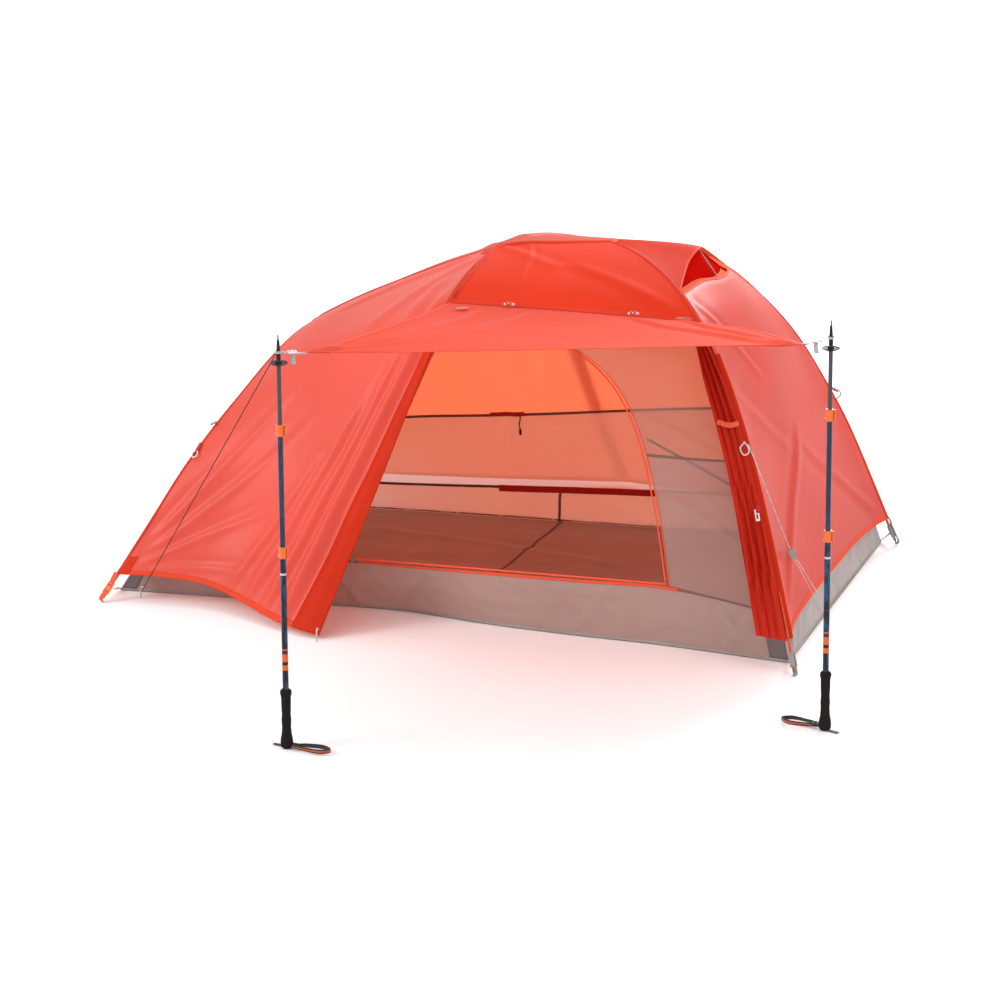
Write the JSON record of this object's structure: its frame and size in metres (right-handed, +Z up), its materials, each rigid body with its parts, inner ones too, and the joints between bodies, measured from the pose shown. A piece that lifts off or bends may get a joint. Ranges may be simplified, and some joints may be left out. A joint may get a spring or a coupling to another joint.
{
  "type": "backpacking tent with awning on poles",
  "caption": "Freestanding double-wall backpacking tent with bathtub floor, curved pole frame, and its near door propped out as an awning on telescoping trekking poles.",
  "frame": {"origin": "centre of the underside of the tent floor, on the ground", "axes": "+Z up, +X along the floor towards the head end, +Y away from the awning"},
  "size_m": [2.5219, 2.9357, 1.2221],
  "materials": {
    "fly_fabric": "coated ripstop nylon, orange red",
    "inner_fabric": "uncoated ripstop nylon, pale grey",
    "floor_fabric": "coated nylon, grey brown",
    "webbing": "woven tape",
    "strap": "woven tape, black",
    "cord_dark": "braided cord",
    "cord_light": "braided cord, reflective",
    "zip_tape": "coil zip",
    "frame_tube": "anodised grey",
    "fitting": "anodised",
    "plastic_grey": "moulded nylon",
    "plastic_white": "moulded",
    "elastic": "elastic cord",
    "shaft_blue": "anodised blue and black",
    "shaft_grey": "anodised grey",
    "clamp_orange": "orange",
    "black_plastic": "moulded black",
    "foam": "foam grip",
    "steel": "wire"
  },
  "bodies": {
    "tent": {"bathtub_ends": "floor_fabric", "bathtub_far": "floor_fabric", "bathtub_near": "floor_fabric", "brow_pole": "frame_tube", "clamps_lower": "clamp_orange", "corner_buckles": "plastic_grey", "door_toggles": "plastic_white", "floor_sheet": "floor_fabric", "fly_awning": "fly_fabric", "fly_far_left": "fly_fabric", "fly_far_right": "fly_fabric", "fly_foot_end": "fly_fabric", "fly_gathered_door": "fly_fabric", "fly_head_end": "fly_fabric", "fly_roof_near": "fly_fabric", "fly_side_near": "fly_fabric", "frame_connectors": "fitting", "grips": "foam", "ground_pegs": "steel", "guyline_awning": "cord_dark", "guyline_side": "cord_light", "inner_door_rolled": "inner_fabric", "inner_far_left": "inner_fabric", "inner_far_right": "inner_fabric", "inner_foot_end": "inner_fabric", "inner_head_end": "inner_fabric", "inner_roof_near": "inner_fabric", "inner_side_near": "inner_fabric", "inner_side_near_right": "inner_fabric", "leg_pole_foot_far": "frame_tube", "leg_pole_foot_near": "frame_tube", "leg_pole_head_far": "frame_tube", "leg_pole_head_near": "frame_tube", "line_tensioner": "plastic_grey", "pole_clips": "plastic_grey", "pole_tips": "fitting", "ridge_pole": "frame_tube", "shafts_upper": "shaft_blue", "shock_cords": "elastic", "vent_hood": "fly_fabric", "vent_strut": "plastic_grey", "webbing_straps": "webbing", "wrist_straps": "strap", "zip_tracks": "zip_tape"},
    "pole_middle_left": {"shaft_middle_left": "shaft_blue", "clamp_upper_left": "clamp_orange"},
    "pole_lower_left": {"shaft_lower_left": "shaft_grey", "basket_left": "black_plastic", "tip_left": "black_plastic"},
    "lever_upper_left": {"lever_upper_left": "clamp_orange"},
    "lever_lower_left": {"lever_lower_left": "clamp_orange"},
    "pole_middle_right": {"shaft_middle_right": "shaft_blue", "clamp_upper_right": "clamp_orange"},
    "pole_lower_right": {"shaft_lower_right": "shaft_grey", "basket_right": "black_plastic", "tip_right": "black_plastic"},
    "lever_upper_right": {"lever_upper_right": "clamp_orange"},
    "lever_lower_right": {"lever_lower_right": "clamp_orange"},
    "door_slider": {"zip_slider_door": "plastic_grey"},
    "fly_slider": {"zip_slider_fly": "plastic_grey"}
  },
  "joints": [
    {"name": "middle_slide_left", "type": "slide", "parent": "tent", "child": "pole_middle_left", "axis": [0, 0, 1], "range_m": [-0.32, 0]},
    {"name": "lower_slide_left", "type": "slide", "parent": "pole_middle_left", "child": "pole_lower_left", "axis": [0, 0, 1], "range_m": [-0.155, 0]},
    {"name": "lever_upper_left_hinge", "type": "hinge", "parent": "pole_middle_left", "child": "lever_upper_left", "pos_m": [-0.0707, -1.8049, 0.946], "axis": [0, 0, 1], "range_deg": [-110, 0]},
    {"name": "lever_lower_left_hinge", "type": "hinge", "parent": "tent", "child": "lever_lower_left", "pos_m": [-0.0707, -1.8049, 0.587], "axis": [0, 0, 1], "range_deg": [-110, 0]},
    {"name": "middle_slide_right", "type": "slide", "parent": "tent", "child": "pole_middle_right", "axis": [0, 0, 1], "range_m": [-0.32, 0]},
    {"name": "lower_slide_right", "type": "slide", "parent": "pole_middle_right", "child": "pole_lower_right", "axis": [0, 0, 1], "range_m": [-0.155, 0]},
    {"name": "lever_upper_right_hinge", "type": "hinge", "parent": "pole_middle_right", "child": "lever_upper_right", "pos_m": [1.3755, -1.2239, 0.946], "axis": [0, 0, 1], "range_deg": [-110, 0]},
    {"name": "lever_lower_right_hinge", "type": "hinge", "parent": "tent", "child": "lever_lower_right", "pos_m": [1.3755, -1.2239, 0.587], "axis": [0, 0, 1], "range_deg": [-110, 0]},
    {"name": "door_slider_travel", "type": "slide", "parent": "tent", "child": "door_slider", "axis": [0.9991, -0.0396, 0.0166], "range_m": [0, 0.985]},
    {"name": "fly_slider_travel", "type": "slide", "parent": "tent", "child": "fly_slider", "axis": [-0.1147, -0.5227, 0.8448], "range_m": [0, 0.98]}
  ]
}
